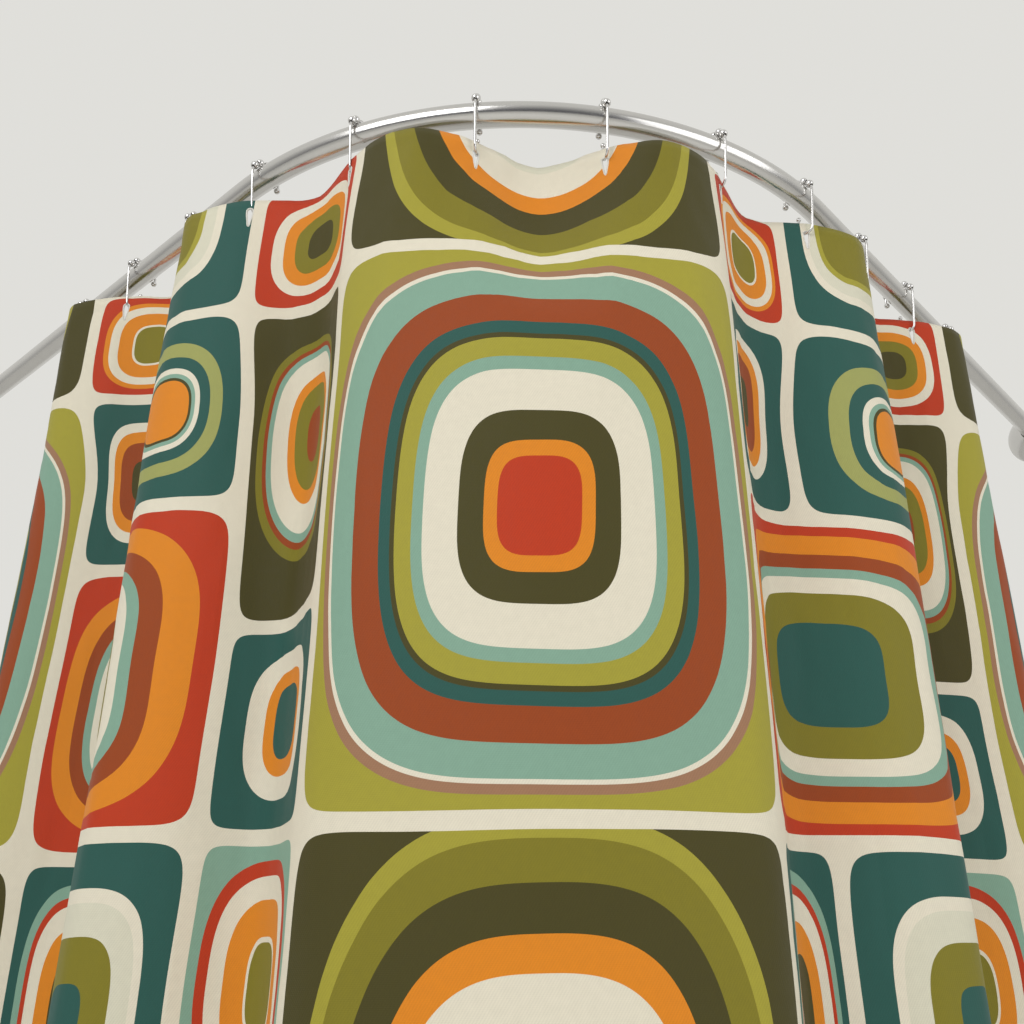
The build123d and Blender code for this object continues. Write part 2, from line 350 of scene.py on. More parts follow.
# ---- print: colours, and every cell's edges and rings in flat millimetres from the top centre
inks = {
    "cream": colour(226, 219, 199),
    "lightCream": colour(214, 211, 190),
    "darkOlive": colour(72, 67, 28),
    "olive": colour(128, 120, 36),
    "lime": colour(163, 155, 56),
    "orange": colour(221, 134, 32),
    "red": colour(187, 58, 26),
    "rust": colour(151, 68, 26),
    "teal": colour(42, 88, 80),
    "lightTeal": colour(132, 168, 148),
    "sage": colour(158, 161, 94),
    "mauve": colour(158, 118, 90),
}
printLayout = {
    "startAcross": -197,
    "repeatAcross": 860,
    "startDown": 137,
    "repeatDown": 992,
    "border": 13,
    "waver": 0.009,
    # edges left, right, top and bottom; how the rings lean across and down; corner powers of the
    # block and its rings; the rings' squeeze; then the rings from the edge to the middle
    "cells": [
        (-197, 187, 137, 633, 0.0, 0.05, 16, 3.6, 1.0,
            [("lime", 1.0), ("mauve", 0.955), ("cream", 0.925), ("lightTeal", 0.91), ("rust", 0.8),
             ("teal", 0.68), ("darkOlive", 0.635), ("lime", 0.615), ("lightTeal", 0.545),
             ("cream", 0.5), ("darkOlive", 0.35), ("orange", 0.24), ("red", 0.18)]),
        (-197, 187, 633, 1129, 0.0, 0.0, 16, 3.0, 0.84,
            [("darkOlive", 1.0), ("lime", 0.87), ("olive", 0.82), ("darkOlive", 0.72), ("orange", 0.61),
             ("cream", 0.53), ("lightCream", 0.42)]),
        (187, 520, 342, 633, -0.22, 0.02, 14, 3.6, 1.0,
            [("red", 1.0), ("orange", 0.93), ("rust", 0.8), ("lightTeal", 0.7), ("cream", 0.64),
             ("olive", 0.53), ("teal", 0.33)]),
        (187, 316, 137, 342, -0.1, 0.0, 10, 2.8, 1.0,
            [("teal", 1.0), ("cream", 0.76), ("orange", 0.64), ("rust", 0.5), ("darkOlive", 0.26)]),
        (187, 316, 633, 860, 0.1, 0.1, 10, 3.0, 1.0,
            [("teal", 1.0), ("lightTeal", 0.88), ("red", 0.8), ("cream", 0.74), ("orange", 0.58),
             ("darkOlive", 0.38)]),
        (187, 316, 860, 985, 0.0, 0.0, 10, 3.0, 1.0,
            [("lime", 1.0), ("cream", 0.74), ("teal", 0.56), ("orange", 0.3)]),
        (187, 316, 985, 1129, 0.15, 0.0, 10, 3.0, 1.0,
            [("red", 1.0), ("orange", 0.88), ("cream", 0.8), ("orange", 0.66), ("cream", 0.42),
             ("olive", 0.38)]),
        (316, 520, 137, 342, 0.2, 0.05, 10, 2.8, 1.0,
            [("teal", 1.0), ("sage", 0.76), ("teal", 0.6), ("cream", 0.47), ("lightTeal", 0.41),
             ("darkOlive", 0.36), ("orange", 0.33)]),
        (316, 520, 633, 881, 0.1, 0.1, 10, 3.4, 1.0,
            [("teal", 1.0), ("cream", 0.76), ("lightCream", 0.68), ("olive", 0.5), ("teal", 0.24)]),
        (316, 520, 881, 1129, -0.15, -0.1, 10, 3.2, 1.0,
            [("teal", 1.0), ("cream", 0.76), ("lightCream", 0.68), ("lime", 0.56), ("olive", 0.5)]),
        (520, 663, 137, 455, 0.1, -0.15, 12, 2.6, 1.25,
            [("darkOlive", 1.0), ("olive", 0.93), ("rust", 0.86), ("lightTeal", 0.82), ("cream", 0.76),
             ("orange", 0.56), ("olive", 0.46), ("rust", 0.24)]),
        (520, 663, 455, 633, 0.1, 0.0, 12, 3.0, 1.0,
            [("teal", 1.0), ("cream", 0.74), ("orange", 0.52), ("teal", 0.36)]),
        (520, 663, 633, 835, 0.1, 0.1, 12, 3.0, 1.0,
            [("lightTeal", 1.0), ("red", 0.9), ("cream", 0.8), ("orange", 0.64), ("cream", 0.38),
             ("olive", 0.34)]),
        (520, 663, 835, 982, 0.0, 0.0, 12, 3.0, 1.0,
            [("lime", 1.0), ("cream", 0.76), ("olive", 0.6), ("rust", 0.34)]),
        (520, 663, 982, 1129, 0.1, 0.0, 12, 2.8, 1.0,
            [("red", 1.0), ("cream", 0.84), ("orange", 0.68), ("olive", 0.5), ("darkOlive", 0.28)]),
    ],
}


def printOn(tree, vector):
    # gives the print's colour at a place on the flat cloth
    waver = noiseNode(tree, vector, 3.2, 1.0)
    shift = tree.nodes.new("ShaderNodeVectorMath")
    shift.operation = "MULTIPLY_ADD"
    tree.links.new(waver.outputs["Color"], shift.inputs[0])
    shift.inputs[1].default_value = (2 * printLayout["waver"],) * 3
    offset = tree.nodes.new("ShaderNodeVectorMath")
    offset.operation = "SUBTRACT"
    tree.links.new(vector, offset.inputs[0])
    offset.inputs[1].default_value = (printLayout["waver"],) * 3
    tree.links.new(offset.outputs[0], shift.inputs[2])
    parts = tree.nodes.new("ShaderNodeSeparateXYZ")
    tree.links.new(shift.outputs[0], parts.inputs[0])
    startAcross, startDown = printLayout["startAcross"] / 1000, printLayout["startDown"] / 1000
    endAcross = startAcross + printLayout["repeatAcross"] / 1000
    endDown = startDown + printLayout["repeatDown"] / 1000
    across = mathNode(tree, "WRAP", parts.outputs[0], endAcross, startAcross)
    down = mathNode(tree, "WRAP", parts.outputs[1], endDown, startDown)
    result = inks["cream"]
    border = printLayout["border"] / 2000
    for printed in printLayout["cells"]:
        left, right, top, bottom, leanAcross, leanDown, corner, ringCorner, squeeze, rings = printed
        block = placeGroup(
            tree,
            cell,
            **{
                "Across": across,
                "Down": down,
                "Centre Across": (left + right) / 2000,
                "Centre Down": (top + bottom) / 2000,
                "Half Width": (right - left) / 2000 - border,
                "Half Height": (bottom - top) / 2000 - border,
                "Lean Across": leanAcross,
                "Lean Down": leanDown,
                "Corner": float(corner),
                "Ring Corner": ringCorner,
                "Squeeze": squeeze,
            },
        )
        ramp = tree.nodes.new("ShaderNodeValToRGB")
        ramp.color_ramp.interpolation = "CONSTANT"
        stops = ramp.color_ramp.elements
        outwards = list(reversed(rings))
        starts = [0.0] + [reach for ink, reach in outwards[:-1]]
        for n, ((ink, reach), start) in enumerate(zip(outwards, starts)):
            stop = stops[n] if n < 2 else stops.new(start)
            stop.position = start
            stop.color = inks[ink]
        tree.links.new(block.outputs["Ring"], ramp.inputs[0])
        result = mixColour(tree, block.outputs["Inside"], result, ramp.outputs[0])
    return result


def flatVector(tree):
    node = tree.nodes.new("ShaderNodeUVMap")
    node.uv_map = "flatCloth"
    return node.outputs[0]


# ---- materials
clothLook = {
    "plain": (226, 224, 217),
    "roughness": 0.58,
    "slubRoughness": 0.16,
    "sheen": 0.06,
    "sheenRoughness": 0.45,
    "specular": 0.22,
    "weavePitch": 0.0022,
    "weaveDepth": 0.00012,
    "weaveBump": 0.5,
    "darkest": 0.93,
    "weaveTone": 0.10,
    "slubTone": 0.10,
}
metalLook = {
    "rodChrome": {"tint": (0.66, 0.65, 0.63, 1), "roughness": 0.17, "marks": 0.07},
    "hookChrome": {"tint": (0.72, 0.71, 0.70, 1), "roughness": 0.16, "marks": 0.08},
    "screwSteel": {"tint": (0.55, 0.55, 0.55, 1), "roughness": 0.32, "marks": 0.10},
}
metalGrain = {"dulled": 0.9, "bump": 0.05, "depth": 0.00001}
threadLook = {
    "light": (236, 234, 226),
    "dark": (206, 203, 192),
    "fluffScale": 1400.0,
    "fluffRoughness": 0.2,
    "roughness": 0.55,
    "sheen": 0.3,
    "bump": 0.4,
    "depth": 0.0002,
}


def clothMaterial(name, printed):
    material, tree, shader = startMaterial(name)
    vector = flatVector(tree)
    weave = placeGroup(tree, twill, Vector=vector, Pitch=clothLook["weavePitch"])
    base = printOn(tree, vector) if printed else colour(*clothLook["plain"])
    slubTone = clothLook["slubTone"]
    tone = mathNode(
        tree, "MULTIPLY_ADD", weave.outputs["Height"], clothLook["weaveTone"], clothLook["darkest"]
    )
    uneven = mathNode(tree, "MULTIPLY_ADD", weave.outputs["Slub"], slubTone, -slubTone / 2)
    tone = mathNode(tree, "ADD", tone, uneven)
    grey = tree.nodes.new("ShaderNodeCombineColor")
    for n in range(3):
        tree.links.new(tone, grey.inputs[n])
    shaded = mixColour(tree, 1.0, base, grey.outputs[0], "MULTIPLY")
    tree.links.new(shaded, shader.inputs["Base Color"])
    rough = mathNode(
        tree, "MULTIPLY_ADD", weave.outputs["Slub"], clothLook["slubRoughness"], clothLook["roughness"]
    )
    tree.links.new(rough, shader.inputs["Roughness"])
    shader.inputs["Sheen Weight"].default_value = clothLook["sheen"]
    shader.inputs["Sheen Roughness"].default_value = clothLook["sheenRoughness"]
    shader.inputs["Specular IOR Level"].default_value = clothLook["specular"]
    bump = bumpNode(tree, weave.outputs["Height"], clothLook["weaveBump"], clothLook["weaveDepth"])
    tree.links.new(bump, shader.inputs["Normal"])
    return material


def metalMaterial(name):
    metal = metalLook[name]
    material, tree, shader = startMaterial(name)
    place = tree.nodes.new("ShaderNodeTexCoord")
    look = placeGroup(
        tree, polish, Vector=place.outputs["Object"], Base=metal["roughness"], Amount=metal["marks"]
    )
    dull = tuple(c * metalGrain["dulled"] for c in metal["tint"][:3]) + (1.0,)
    tint = mixColour(tree, look.outputs["Tone"], metal["tint"], dull)
    tree.links.new(tint, shader.inputs["Base Color"])
    tree.links.new(look.outputs["Roughness"], shader.inputs["Roughness"])
    shader.inputs["Metallic"].default_value = 1.0
    bump = bumpNode(tree, look.outputs["Height"], metalGrain["bump"], metalGrain["depth"])
    tree.links.new(bump, shader.inputs["Normal"])
    return material


def threadMaterial(name):
    material, tree, shader = startMaterial(name)
    place = tree.nodes.new("ShaderNodeTexCoord")
    fluff = noiseNode(tree, place.outputs["Object"], threadLook["fluffScale"], 3.0).outputs[0]
    tint = mixColour(tree, fluff, colour(*threadLook["light"]), colour(*threadLook["dark"]))
    rough = mathNode(tree, "MULTIPLY_ADD", fluff, threadLook["fluffRoughness"], threadLook["roughness"])
    tree.links.new(tint, shader.inputs["Base Color"])
    tree.links.new(rough, shader.inputs["Roughness"])
    shader.inputs["Sheen Weight"].default_value = threadLook["sheen"]
    bump = bumpNode(tree, fluff, threadLook["bump"], threadLook["depth"])
    tree.links.new(bump, shader.inputs["Normal"])
    return material


printedCloth = clothMaterial("printedFront", True)
hemCloth = clothMaterial("hemCloth", False)
thread = threadMaterial("sewingThread")
rodChrome = metalMaterial("rodChrome")
hookChrome = metalMaterial("hookChrome")
screwSteel = metalMaterial("screwSteel")
print("materials made")


def finishPiece(obj, material, slotName, *replaced):
    obj.data.materials.clear()
    obj.data.materials.append(material)
    if replaced:
        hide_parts(*replaced)


# ---- rod: a ring of edges extruded along one leg, spun round the bend and run out along the other
rodShape = {"sides": 64, "bendSteps": 96}


def makeRod():
    seat = bendHalf + rodLine["leg"] - rodLine["plate"]
    way = rodDirections(-bendHalf)[0]
    clearSelection()
    bpy.ops.mesh.primitive_circle_add(
        vertices=rodShape["sides"], radius=rodLine["radius"], location=rodPoint(-seat),
        rotation=way.to_track_quat("Z", "Y").to_euler(),
    )
    rod = newest("rodTube")
    settle(rod)
    bpy.ops.object.mode_set(mode="EDIT")
    bpy.ops.mesh.select_all(action="SELECT")
    run = rodLine["leg"] - rodLine["plate"]
    bpy.ops.mesh.extrude_region_move(TRANSFORM_OT_translate={"value": way * run})
    bpy.ops.mesh.spin(
        steps=rodShape["bendSteps"], angle=-2 * rodLine["halfTurn"], center=bendCentre, axis=(0, 0, 1)
    )
    out = rodDirections(bendHalf)[0]
    bpy.ops.mesh.extrude_region_move(TRANSFORM_OT_translate={"value": out * run})
    bpy.ops.mesh.select_all(action="SELECT")
    bpy.ops.mesh.remove_doubles(threshold=0.00001)
    bpy.ops.mesh.normals_make_consistent(inside=False)
    bpy.ops.object.mode_set(mode="OBJECT")
    wall = rod.modifiers.new("wall", "SOLIDIFY")
    wall.thickness = rodLine["wall"]
    wall.offset = -1
    applyModifiers(rod)
    smooth(rod)
    return rod


rod = makeRod()
finishPiece(rod, rodChrome, "rod_chrome", "rod")
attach(rod, "rod_and_curtain")
print("rod made")


# ---- hooks: one bent wire with a ball at each end and five rollers on its crown
hookShape = {
    "wire": 0.00135,
    "ring": 0.01715,
    "lean": 6.5,
    "tailTurn": 107,
    "drop": 0.043,
    "jaw": 0.0076,
    "rise": 0.014,
    "jawBall": 0.0026,
    "tailBall": 0.0033,
    "sides": 20,
    "roller": 0.00425,
    "bore": 0.00195,
    "flatLatitude": 55,
    "rollerStep": 31,
    "rollerRim": 0.00018,
    "ringSteps": 56,
    "jawSteps": 40,
}


def addBall(place, radius):
    clearSelection()
    bpy.ops.mesh.primitive_uv_sphere_add(segments=24, ring_count=14, radius=radius, location=place)
    ball = bpy.context.object
    settle(ball)
    return ball


def makeHookWire():
    # drawn in the XZ plane with the rod's centre at the origin and X pointing out of the bend
    lean = math.radians(hookShape["lean"])
    tailAngle = math.radians(90 + hookShape["tailTurn"])
    ring = hookShape["ring"]
    tail = Vector((ring * math.cos(tailAngle), 0, ring * math.sin(tailAngle)))
    tailWay = Vector((-math.sin(tailAngle), 0, math.cos(tailAngle)))
    clearSelection()
    bpy.ops.mesh.primitive_circle_add(
        vertices=hookShape["sides"], radius=hookShape["wire"], location=tail,
        rotation=tailWay.to_track_quat("Z", "Y").to_euler(),
    )
    wireLoop = newest("hookWire")
    settle(wireLoop)
    legTop = Vector((ring * math.cos(lean), 0, -ring * math.sin(lean)))
    legWay = Vector((-math.sin(lean), 0, -math.cos(lean)))
    legEnd = legTop + legWay * hookShape["drop"]
    jawCentre = legEnd + Vector((legWay.z, 0, -legWay.x)) * hookShape["jaw"]
    jawTurn = math.pi - lean
    bpy.ops.object.mode_set(mode="EDIT")
    bpy.ops.mesh.select_all(action="SELECT")
    bpy.ops.mesh.spin(
        steps=hookShape["ringSteps"], angle=-(tailAngle + lean), center=(0, 0, 0), axis=(0, 1, 0)
    )
    bpy.ops.mesh.extrude_region_move(TRANSFORM_OT_translate={"value": legEnd - legTop})
    bpy.ops.mesh.spin(steps=hookShape["jawSteps"], angle=-jawTurn, center=jawCentre, axis=(0, 1, 0))
    bpy.ops.mesh.extrude_region_move(TRANSFORM_OT_translate={"value": (0, 0, hookShape["rise"])})
    bpy.ops.mesh.select_all(action="SELECT")
    bpy.ops.mesh.remove_doubles(threshold=0.000005)
    bpy.ops.mesh.fill_holes(sides=0)
    bpy.ops.mesh.normals_make_consistent(inside=False)
    bpy.ops.object.mode_set(mode="OBJECT")
    tip = Vector((jawCentre.x - hookShape["jaw"], 0, jawCentre.z + hookShape["rise"]))
    joinInto(wireLoop, addBall(tip, hookShape["jawBall"]), addBall(tail, hookShape["tailBall"]))
    smooth(wireLoop, 60)
    return wireLoop


def makeRoller():
    # a ball with both poles cut flat and a bore between them, its axis along X at the crown
    radius, bore = hookShape["roller"], hookShape["bore"]
    capHeight = radius * math.sin(math.radians(hookShape["flatLatitude"]))
    clearSelection()
    bpy.ops.mesh.primitive_uv_sphere_add(segments=32, ring_count=24, radius=radius)
    roller = newest("roller")
    bpy.ops.object.mode_set(mode="EDIT")
    capRadius = radius * math.cos(math.radians(hookShape["flatLatitude"]))
    shrink = bore / capRadius
    for side in (-1, 1):
        bpy.ops.mesh.select_all(action="SELECT")
        bpy.ops.mesh.bisect(
            plane_co=(0, 0, side * capHeight), plane_no=(0, 0, side), clear_outer=True, use_fill=False
        )
        bpy.ops.mesh.extrude_edges_move()
        bpy.ops.transform.resize(value=(shrink, shrink, 1), center_override=(0, 0, side * capHeight))
    bpy.ops.mesh.select_all(action="DESELECT")
    bpy.ops.object.mode_set(mode="OBJECT")
    for edge in roller.data.edges:
        ends = [roller.data.vertices[v].co for v in edge.vertices]
        edge.select = all(math.hypot(p.x, p.y) < bore * 1.01 for p in ends)
    bpy.ops.object.mode_set(mode="EDIT")
    bpy.ops.mesh.select_mode(type="EDGE")
    bpy.ops.mesh.bridge_edge_loops()
    bpy.ops.mesh.select_all(action="SELECT")
    bpy.ops.mesh.remove_doubles(threshold=0.000001)
    bpy.ops.mesh.normals_make_consistent(inside=False)
    bpy.ops.object.mode_set(mode="OBJECT")
    rim = roller.modifiers.new("rim", "BEVEL")
    rim.width = hookShape["rollerRim"]
    rim.segments = 2
    rim.limit_method = "ANGLE"
    rim.angle_limit = math.radians(40)
    applyModifiers(roller)
    smooth(roller, 45)
    return roller


def hookPlace(along):
    # turns local X outward and puts the origin on the rod's centreline
    tangent, outward, _ = rodDirections(along)
    turn = Matrix((outward, tangent, Vector((0, 0, 1)))).transposed().to_4x4()
    return Matrix.Translation(rodPoint(along)) @ turn


def rollerPlace(degrees):
    # from the crown, turned towards the front by an angle, its axis along the wire
    crown = Matrix.Translation((0, 0, hookShape["ring"])) @ Matrix.Rotation(math.radians(90), 4, "Y")
    return Matrix.Rotation(math.radians(degrees), 4, "Y") @ crown


hookPattern = makeHookWire()
rollerPattern = makeRoller()
movingBodies = set(frame["bodies"])
for number, along in enumerate(hookPlaces, start=1):
    tag = f"{number:02d}"
    body = f"hook_{tag}" if f"hook_{tag}" in movingBodies else "rod_and_curtain"
    place = hookPlace(along)
    wirePiece = copyOf(hookPattern, f"hookWire_{tag}", place)
    finishPiece(wirePiece, hookChrome, "hook_chrome", f"hook_wire_{tag}")
    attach(wirePiece, body)
    sides = [
        copyOf(rollerPattern, f"sideRollers_{tag}", place @ rollerPlace(hookShape["rollerStep"] * step))
        for step in (-2, -1, 1, 2)
    ]
    joinInto(sides[0], *sides[1:])
    finishPiece(sides[0], hookChrome, "roller_chrome", f"side_rollers_{tag}")
    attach(sides[0], body)
    crownRoller = copyOf(rollerPattern, f"topRoller_{tag}", place @ rollerPlace(0))
    finishPiece(crownRoller, hookChrome, "roller_chrome", f"top_roller_{tag}")
    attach(crownRoller, f"roller_{tag}")
for pattern in (hookPattern, rollerPattern):
    bpy.data.objects.remove(pattern)
print("hooks made")

# ---- wall fittings: a domed cover raised from rings, over the plate and screws
coverShape = {
    # radius and height of each ring, from the wall to the rod
    "rings": (
        (0.042, 0.0), (0.042, 0.004), (0.040, 0.0085), (0.034, 0.0165),
        (0.027, 0.0225), (0.0222, 0.0265), (0.0155, 0.031), (0.0142, 0.034),
    ),
    "wall": 0.0012,
    "sides": 72,
}


def makeCover(end, name):
    wallPlace = rodPoint(end * (bendHalf + rodLine["leg"]))
    inward = rodDirections(end * bendHalf)[0] * -end
    clearSelection()
    startRadius = coverShape["rings"][0][0]
    bpy.ops.mesh.primitive_circle_add(vertices=coverShape["sides"], radius=startRadius)
    cover = newest(name)
    bpy.ops.object.mode_set(mode="EDIT")
    bpy.ops.mesh.select_all(action="SELECT")
    for (fromRadius, fromHeight), (toRadius, toHeight) in zip(coverShape["rings"], coverShape["rings"][1:]):
        bpy.ops.mesh.extrude_edges_move(TRANSFORM_OT_translate={"value": (0, 0, toHeight - fromHeight)})
        shrink = toRadius / fromRadius
        bpy.ops.transform.resize(value=(shrink, shrink, 1), center_override=(0, 0, toHeight))
    bpy.ops.mesh.select_all(action="SELECT")
    bpy.ops.mesh.normals_make_consistent(inside=False)
    bpy.ops.object.mode_set(mode="OBJECT")
    wall = cover.modifiers.new("wall", "SOLIDIFY")
    wall.thickness = coverShape["wall"]
    wall.offset = -1
    rounding = cover.modifiers.new("round", "SUBSURF")
    rounding.levels = rounding.render_levels = 1
    applyModifiers(cover)
    smooth(cover, 50)
    turn = inward.to_track_quat("Z", "Y").to_matrix().to_4x4()
    cover.data.transform(Matrix.Translation(wallPlace) @ turn)
    return cover


for end, side in ((-1, "left"), (1, "right")):
    cover = makeCover(end, f"flangeCover_{side}")
    finishPiece(cover, rodChrome, "fitting_chrome", f"flange_cover_{side}")
    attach(cover, "rod_and_curtain")
    for node, material in (("wall_plate", rodChrome), ("wall_screws", screwSteel), ("set_screw", screwSteel)):
        part = frame["nodes"][f"{node}_{side}"]
        part.data.materials.clear()
        part.data.materials.append(material)
print("wall fittings made")

# ---- cloth: one flat panel, its folds set hook by hook and let down to broader folds below
curtain = {
    "flatWidth": 1.800,
    "flatLength": 1.880,
    "top": -0.038,
    "thickness": 0.0005,
    # how far the cloth stands out of the rod's line, in mm, midway between each pair of hooks
    "topFolds": (-96, -28, 48, -25, 43, -16, 37, -27, 31, -26, 33, -27, 42, -28, -96),
    "lowFolds": (-20, -30, 43, -34, 48, -34, 43, 45, 43, -34, 35, -34, 41, -30, -20),
    "fadeFrom": 0.020,
    "fadeTo": 0.260,
    "sag": 0.004,
    "sagFade": 0.12,
    "column": 0.0070,
    "row": 0.0120,
    "seam": 0.212,
    "seamZone": 0.0015,
    "slopeStep": 0.0008,
    "lineReach": 0.88,
    "lineSamples": 3521,
}
hem = {
    "top": 0.040,
    "bottom": 0.025,
    "side": 0.012,
    "thickness": 0.0005,
    "behind": 0.0009,
    "inset": 0.0004,
}
hole = {
    "centre": 0.0215,
    "halfLength": 0.0113,
    "halfWidth": 0.0033,
    "taper": 0.62,
    "taperFrom": -0.6,
    "fine": 0.0010,
    "margin": 0.0020,
}


def foldLine(along, folds):
    last = len(folds) - 1
    step = np.clip(along / rodLine["pitch"] + last / 2, 0, last - 0.001)
    n = np.floor(step).astype(int)
    ease = (1 - np.cos(np.pi * (step - n))) / 2
    heights = np.array(folds) / 1000
    return heights[n] * (1 - ease) + heights[n + 1] * ease


def easeIn(value, start, end):
    t = np.clip((value - start) / (end - start), 0, 1)
    return t * t * (3 - 2 * t)


drift = None  # how the simulated cloth has moved from its plan, once it has been let down
lineSamples = np.linspace(-curtain["lineReach"], curtain["lineReach"], curtain["lineSamples"])


def planOfRow(down):
    # the row's line in plan, with its flat distance from the middle
    fade = easeIn(down, curtain["fadeFrom"], curtain["fadeTo"])
    topOut, lowOut = (foldLine(lineSamples, curtain[folds]) for folds in ("topFolds", "lowFolds"))
    out = topOut * (1 - fade) + lowOut * fade
    turn = np.clip(lineSamples / rodLine["bendRadius"], -rodLine["halfTurn"], rodLine["halfTurn"])
    straight = lineSamples - turn * rodLine["bendRadius"]
    reach = rodLine["bendRadius"] + out
    x = bendCentre.x + np.sin(turn) * reach + np.cos(turn) * straight
    y = bendCentre.y - np.cos(turn) * reach + np.sin(turn) * straight
    flat = np.concatenate([[0], np.cumsum(np.hypot(np.diff(x), np.diff(y)))])
    flat -= np.interp(0, lineSamples, flat)
    return x, y, flat


def flatOf(along):
    # flat distance from the middle, at the buttonholes' height, of a place along the rod
    return float(np.interp(along, lineSamples, planOfRow(hole["centre"])[2]))


def alongOf(across):
    return np.interp(across, planOfRow(hole["centre"])[2], lineSamples)


def layout(across, down, layer):
    # places of a grid of flat points on the hung cloth; layer is the distance in front of its middle
    points = hungPlan(across, down, layer)
    return points + drift(across, down) if drift else points


def hungPlan(across, down, layer):
    points = np.zeros((len(down), len(across), 3))
    betweenHooks = alongOf(across) / rodLine["pitch"] - 0.5
    sag = curtain["sag"] * (1 - np.cos(2 * np.pi * betweenHooks)) / 2
    for i, d in enumerate(down):
        x, y, flat = planOfRow(d)
        px, py = np.interp(across, flat, x), np.interp(across, flat, y)
        step = curtain["slopeStep"]
        tx = np.interp(across + step, flat, x) - np.interp(across - step, flat, x)
        ty = np.interp(across + step, flat, y) - np.interp(across - step, flat, y)
        length = np.hypot(tx, ty)
        points[i, :, 0] = px + ty / length * layer
        points[i, :, 1] = py - tx / length * layer
        points[i, :, 2] = curtain["top"] - d - sag * np.exp(-d / curtain["sagFade"])
    return points


def spaced(start, end, step, fineZones, fine):
    # even steps, with finer ones inside each zone
    marks = [start, end]
    for low, high in fineZones:
        if high > start and low < end:
            marks += list(np.arange(max(low, start), min(high, end), fine))
    marks = sorted(set(round(m, 6) for m in marks))
    filled = []
    for a, b in zip(marks, marks[1:]):
        count = max(1, round((b - a) / step))
        filled += [a + (b - a) * n / count for n in range(count)]
    return np.array(filled + [marks[-1]])


holeCentres = [flatOf(along) for along in hookPlaces]


def slitWidth(belowCentre):
    # the slit is widest round the wire at its top and closes towards its foot
    return 1 - hole["taper"] * easeIn(
        belowCentre, hole["taperFrom"] * hole["halfLength"], hole["halfLength"]
    )


def inHole(a, d):
    for centre in holeCentres:
        x, y = abs(a - centre) / slitWidth(d - hole["centre"]), abs(d - hole["centre"])
        straight = hole["halfLength"] - hole["halfWidth"]
        if math.hypot(x, max(0, y - straight)) < hole["halfWidth"]:
            return True
    return False


def makeSheet(name, start, end, top, bottom, layer, thickness, withHoles=False):
    besideHole = hole["halfWidth"] + hole["margin"]
    aboveHole = hole["halfLength"] + hole["margin"]
    columnZones = [(c - besideHole, c + besideHole) for c in holeCentres] if withHoles else []
    rowZones = [(hole["centre"] - aboveHole, hole["centre"] + aboveHole)] if withHoles else []
    columnZones.append((seamAcross - curtain["seamZone"], seamAcross + curtain["seamZone"]))
    across = spaced(start, end, curtain["column"], columnZones, hole["fine"])
    down = spaced(top, bottom, curtain["row"], rowZones, hole["fine"])
    points = layout(across, down, layer)
    rows, columns = points.shape[:2]
    faces = []
    for i in range(rows - 1):
        for j in range(columns - 1):
            a, d = (across[j] + across[j + 1]) / 2, (down[i] + down[i + 1]) / 2
            nearHole = withHoles and abs(d - hole["centre"]) < hole["halfLength"]
            if not (nearHole and inHole(a, d)):
                n = i * columns + j
                faces.append((n, n + columns, n + columns + 1, n + 1))
    mesh = bpy.data.meshes.new(name)
    mesh.from_pydata(points.reshape(-1, 3).tolist(), [], faces)
    flatMap = mesh.uv_layers.new(name="flatCloth")
    grid = np.stack(np.meshgrid(across, down), -1).reshape(-1, 2)
    corners = np.zeros(len(mesh.loops), int)
    mesh.loops.foreach_get("vertex_index", corners)
    flatMap.data.foreach_set("uv", grid[corners].reshape(-1))
    obj = bpy.data.objects.new(name, mesh)
    bpy.context.collection.objects.link(obj)
    pick(obj)
    bpy.ops.object.mode_set(mode="EDIT")
    bpy.ops.mesh.select_all(action="SELECT")
    bpy.ops.mesh.delete_loose()
    bpy.ops.object.mode_set(mode="OBJECT")
    bpy.ops.object.shade_smooth()
    body = obj.modifiers.new("thickness", "SOLIDIFY")
    body.thickness = thickness
    body.offset = 0
    body.use_even_offset = False
    applyModifiers(obj)
    return obj


seamAcross = flatOf(curtain["seam"])

# ---- simulation: the panel is held at its buttonholes, loosely steadied on its folds, and let down
letDown = {
    "column": 0.012,
    "row": 0.018,
    "frames": 24,
    "quality": 6,
    "steady": 0.02,
    "heldDown": 0.04,
    "heldBeside": 0.009,
    "farthest": 0.008,
    "mass": 0.01,
    "stretch": 30,
    "shear": 12,
    "bend": 0.3,
}


